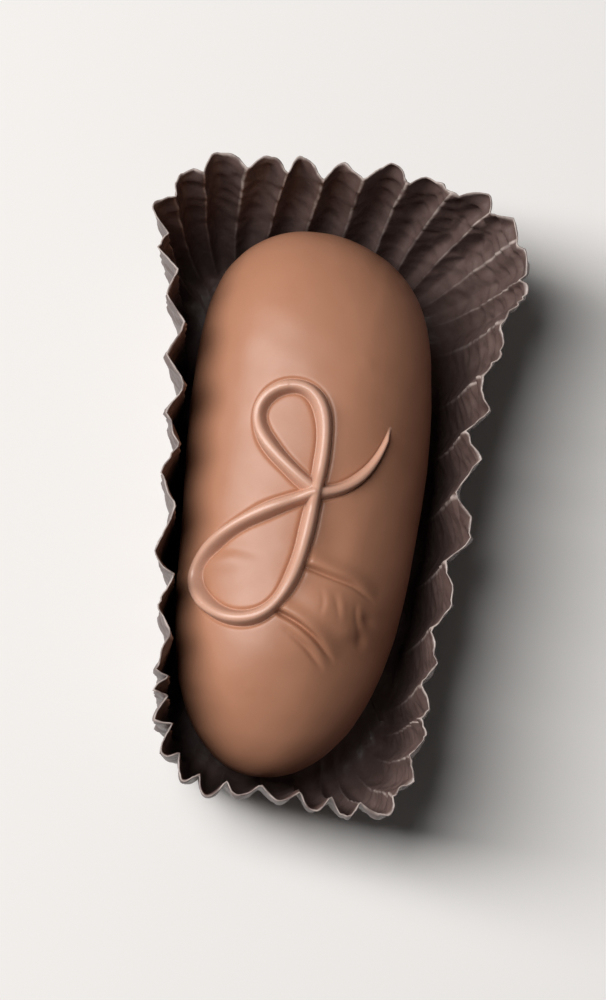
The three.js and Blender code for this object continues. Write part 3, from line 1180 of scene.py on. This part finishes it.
    def crumpled(
        self, sheet: Sheet, geometry: Socket, spot: Socket, edge: Edge, opened: Field
    ) -> Socket:
        """Puts the paper in its place, a little astray and creased where it was handled.

        Args:
            sheet: the flat paper.
            geometry: its socket.
            spot: the socket of each point's place, in millimetres.
            edge: the places on the floor's edge.
            opened: the share of the flutes' depth that is pulled out of them.

        Returns:
            The socket of the shaped paper, in metres.
        """
        tree, size, up = opened.tree, sheet.size, sheet.up
        drift = {"Vector": spot, "W": size["Crumple seed"], "Scale": size["Crumple grain"] ** -1.0}
        slow = add_node(tree, "ShaderNodeTexNoise", drift | {"Detail": 2.0}, noise_dimensions="4D")
        cells = {"Vector": spot, "Scale": size["Crinkle grain"] ** -1.0}
        facets = add_node(tree, "ShaderNodeTexVoronoi", cells, feature="DISTANCE_TO_EDGE")
        out = add_node(tree, "ShaderNodeCombineXYZ", {"X": edge.out_x, "Y": edge.out_y})
        crinkle = size["Crinkle"] * (opened * size["Corner crinkle"] + 1.0)
        push = (Field(tree, facets.outputs["Distance"]) - size["Crinkle middle"]) * crinkle * up
        centred = add_node(
            tree,
            "ShaderNodeVectorMath",
            {0: slow.outputs["Color"], 1: (0.5, 0.5, 0.5)},
            operation="SUBTRACT",
        )
        place = spot
        for direction, amount in (
            (centred.outputs["Vector"], size["Crumple"] * up * 2.0),
            (out.outputs["Vector"], push),
        ):
            step = add_node(
                tree, "ShaderNodeVectorMath", {0: direction, "Scale": amount}, operation="SCALE"
            )
            moved = add_node(
                tree, "ShaderNodeVectorMath", {0: place, 1: step.outputs["Vector"]}, operation="ADD"
            )
            place = moved.outputs["Vector"]
        metres = add_node(tree, "ShaderNodeVectorMath", {0: place, "Scale": MM}, operation="SCALE")
        shaped = add_node(
            tree, "GeometryNodeSetPosition", {"Geometry": geometry, "Position": metres.outputs["Vector"]}
        )
        return shaped.outputs["Geometry"]

    def build(self, finish: bpy.types.Material) -> bpy.types.Object:
        """Pleats the case and gives its paper a thickness.

        Args:
            finish: the paper's material.

        Returns:
            The piece, a plain mesh.
        """
        carrier = link_object("case_tree", bpy.data.meshes.new("case_tree"))
        pleats = carrier.modifiers.new("pleats", "NODES")
        pleats.node_group = self.pleats(finish)
        sizes = self.sizes()
        for item in pleats.node_group.interface.items_tree:
            if item.name in sizes:
                pleats[item.identifier] = sizes[item.name]
        wall = carrier.modifiers.new("thickness", "SOLIDIFY")
        wall.thickness = self.thickness * MM
        wall.offset = 0.0
        evaluated = carrier.evaluated_get(bpy.context.evaluated_depsgraph_get())
        mesh = bpy.data.meshes.new_from_object(evaluated)
        mesh.name = "fluted_case"
        bpy.data.objects.remove(carrier)
        return link_object("fluted_case", mesh)

    def dress(self, piece: bpy.types.Object, finish: bpy.types.Material) -> None:
        """Gives the piece its finish and its place in the frame."""
        place_piece(piece, finish, "paper_case")


@dataclass
class Studio:
    """The pale floor, the soft light and the camera."""

    floor_half: float = 900.0
    azimuth: float = -11.5  # degrees
    elevation: float = 78.5
    distance: float = 500.0  # from its target, in millimetres
    lens: float = 200.0
    sensor: float = 36.0
    tilt: float = 4.5  # degrees by which the finger's head leans to the right in the picture
    target: tuple[float, float, float] = (0.6, 0.3, 9.0)
    room: str = "#f4f3f1"
    ambient: float = 0.05
    key_place: tuple[float, float, float] = (-490, 72, 662)
    key_size: tuple[float, float] = (920.0, 290.0)
    key_power: float = 10.8

    def camera(self) -> None:
        """Places the camera above the case, a little towards its foot."""
        azimuth, elevation = math.radians(self.azimuth), math.radians(self.elevation)
        back = Vector(
            (
                math.sin(azimuth) * math.cos(elevation),
                -math.cos(azimuth) * math.cos(elevation),
                math.sin(elevation),
            )
        )
        tilt = math.radians(self.tilt)
        upright = Vector((-math.sin(tilt), math.cos(tilt), 0))
        right = upright.cross(back).normalized()
        turned = Matrix((right, back.cross(right), back)).transposed()
        data = bpy.data.cameras.new("camera")
        data.lens = self.lens
        data.sensor_fit = "VERTICAL"
        data.sensor_height = self.sensor
        data.clip_start = 0.01
        camera = link_object("camera", data)
        place = (Vector(self.target) + back * self.distance) * MM
        camera.matrix_world = Matrix.Translation(place) @ turned.to_4x4()
        bpy.context.scene.camera = camera

    def light(
        self, name: str, place: tuple[float, float, float], size: tuple[float, float], power: float
    ) -> None:
        """Hangs a soft oblong light that points at the sweet.

        Args:
            name: its name.
            place: where it hangs, in millimetres.
            size: the lengths of its sides, across and along the sweet, in millimetres.
            power: in watts.
        """
        data = bpy.data.lights.new(name, "AREA")
        data.shape = "RECTANGLE"
        data.size_y, data.size = (length * MM for length in size)
        data.energy = power
        lamp = link_object(name, data)
        lamp.location = Vector(place) * MM
        lamp.rotation_euler = (Vector(place) - Vector(self.target)).to_track_quat("Z", "Y").to_euler()

    def build(self) -> None:
        """Sets up the floor, the light, the world and the camera."""
        mesh = bpy.data.meshes.new("floor")
        half = self.floor_half * MM
        corners = [(-half, -half, 0), (half, -half, 0), (half, half, 0), (-half, half, 0)]
        mesh.from_pydata(corners, [], [(0, 1, 2, 3)])
        mesh.materials.append(MattCard().make())
        link_object("floor", mesh)
        self.light("key", self.key_place, self.key_size, self.key_power)
        world = bpy.data.worlds.new("soft_room")
        world.use_nodes = True
        background = world.node_tree.nodes["Background"]
        background.inputs["Color"].default_value = linear(self.room)
        background.inputs["Strength"].default_value = self.ambient
        bpy.context.scene.world = world
        bpy.context.scene.view_settings.view_transform = "Standard"
        self.camera()


def main() -> None:
    """Builds the sweet and its studio, and reports each piece."""
    logging.basicConfig(level=logging.INFO, format="%(name)s: %(message)s")
    Studio().build()
    finger = CoatedFinger()
    sweet = finger.build()
    finger.dress(sweet)
    log.info("coated finger: %d faces", len(sweet.data.polygons))
    case = PaperCase()
    paper = GreaseproofPaper().make()
    cup = case.build(paper)
    case.dress(cup, paper)
    log.info("paper case: %d faces", len(cup.data.polygons))


if __name__ == "__main__":
    main()
